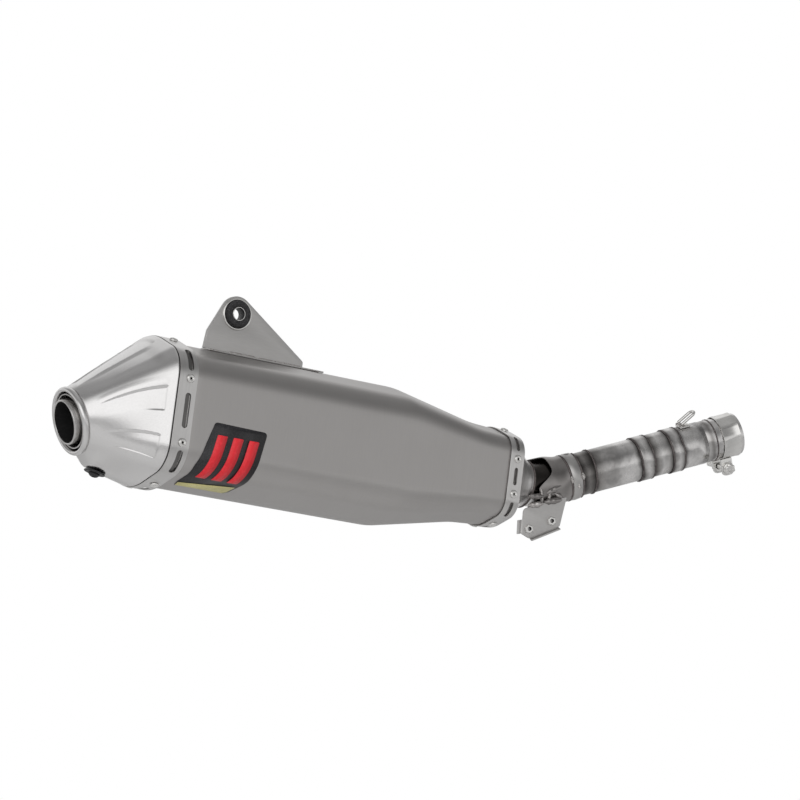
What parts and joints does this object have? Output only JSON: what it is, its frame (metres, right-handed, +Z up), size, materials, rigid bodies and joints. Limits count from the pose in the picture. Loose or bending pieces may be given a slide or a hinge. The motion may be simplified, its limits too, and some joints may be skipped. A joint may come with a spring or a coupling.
{
  "type": "racing exhaust system",
  "caption": "Silencer with a tapered hexagonal body, an angled outlet cap, an ear-plate hanger, a link pipe and a clamped inlet socket.",
  "frame": {"origin": "centre of the bushed hole in the hanger", "axes": "+X along the silencer from the outlet to the inlet, +Z up, -Y along the hanger bolt"},
  "size_m": [0.7701, 0.1484, 0.2041],
  "materials": {
    "sleeve_titanium": "warm grey titanium sheet, matt",
    "band_steel": "bright brushed strip",
    "cap_brushed": "bright brushed pressing",
    "inlet_cap_metal": "satin brushed pressing",
    "rivet_steel": "bright dome",
    "tube_steel": "plain tube, sooty inside",
    "black_oxide": "black oxide",
    "badge_film": "black plate with a plain red and pale yellow pattern",
    "bracket_satin": "satin sheet",
    "grommet_rubber": "matt",
    "bush_steel": "turned",
    "pipe_heat_tinted": "brushed tube with dark heat tint round its welds",
    "hook_steel": "bright wire and nuts",
    "clamp_bright": "bright plated",
    "packing": "mineral wool"
  },
  "bodies": {
    "silencer": {"bracket_saddle": "pipe_heat_tinted", "end_cap": "cap_brushed", "front_band": "band_steel", "front_rivet_1": "rivet_steel", "front_rivet_2": "rivet_steel", "front_rivet_3": "rivet_steel", "front_rivet_4": "rivet_steel", "front_rivet_5": "rivet_steel", "front_rivet_6": "rivet_steel", "front_rivet_7": "rivet_steel", "front_rivet_8": "rivet_steel", "hanger_base": "bracket_satin", "hanger_bracket": "bracket_satin", "hanger_bush": "bush_steel", "hanger_grommet": "grommet_rubber", "hook_pad": "hook_steel", "inlet_cap": "inlet_cap_metal", "inlet_socket": "pipe_heat_tinted", "insert_screw_boss": "tube_steel", "link_pipe": "pipe_heat_tinted", "lower_bracket": "bracket_satin", "mouth_shell": "pipe_heat_tinted", "name_badge": "badge_film", "outlet_tube": "tube_steel", "packing_wool": "packing", "perforated_core": "tube_steel", "pipe_ring_1": "pipe_heat_tinted", "pipe_ring_2": "pipe_heat_tinted", "rear_band": "band_steel", "rear_bulkhead": "tube_steel", "rear_rivet_1": "rivet_steel", "rear_rivet_2": "rivet_steel", "rear_rivet_3": "rivet_steel", "rear_rivet_4": "rivet_steel", "rear_rivet_5": "rivet_steel", "rear_rivet_6": "rivet_steel", "rear_rivet_7": "rivet_steel", "rear_rivet_8": "rivet_steel", "sleeve": "sleeve_titanium", "spring_hook": "hook_steel", "weld_nut_1": "hook_steel", "weld_nut_2": "hook_steel"},
    "clamp": {"clamp_band": "clamp_bright", "clamp_washer": "clamp_bright"},
    "clamp_jaw": {"clamp_jaw": "clamp_bright", "clamp_nut": "clamp_bright"},
    "clamp_bolt": {"clamp_bolt": "clamp_bright"},
    "outlet_insert": {"outlet_insert": "tube_steel"},
    "insert_washer": {"insert_washer": "black_oxide"},
    "insert_screw": {"insert_screw": "black_oxide"}
  },
  "joints": [
    {"name": "clamp_swivel", "type": "hinge", "parent": "silencer", "child": "clamp", "pos_m": [0.5709, -0.04796, -0.02846], "axis": [0.9, -0.217, 0.378], "continuous": true},
    {"name": "clamp_bolt_spin", "type": "hinge", "parent": "clamp", "child": "clamp_bolt", "pos_m": [0.57781, -0.04376, -0.05969], "axis": [0.1642, 0.9722, 0.1671], "range_deg": [-720, 1080]},
    {"name": "clamp_jaw_close", "type": "slide", "parent": "clamp", "child": "clamp_jaw", "axis": [-0.1642, -0.9722, -0.1671], "range_m": [-0.002, 0.003]},
    {"name": "insert_slide", "type": "slide", "parent": "silencer", "child": "outlet_insert", "axis": [-0.9397, 0, -0.342], "range_m": [0, 0.07]},
    {"name": "insert_screw_travel", "type": "slide", "parent": "silencer", "child": "insert_washer", "axis": [-0.2074, 0, -0.9782], "range_m": [0, 0.003]},
    {"name": "insert_screw_spin", "type": "hinge", "parent": "insert_washer", "child": "insert_screw", "pos_m": [-0.1298, 0, -0.17763], "axis": [-0.2074, 0, -0.9782], "range_deg": [0, 1080]}
  ],
  "couplings": [
    {"joint": "clamp_jaw_close", "follows": "clamp_bolt_spin", "m_per_rad": 0.000159},
    {"joint": "insert_screw_travel", "follows": "insert_screw_spin", "m_per_rad": 0.000159}
  ]
}
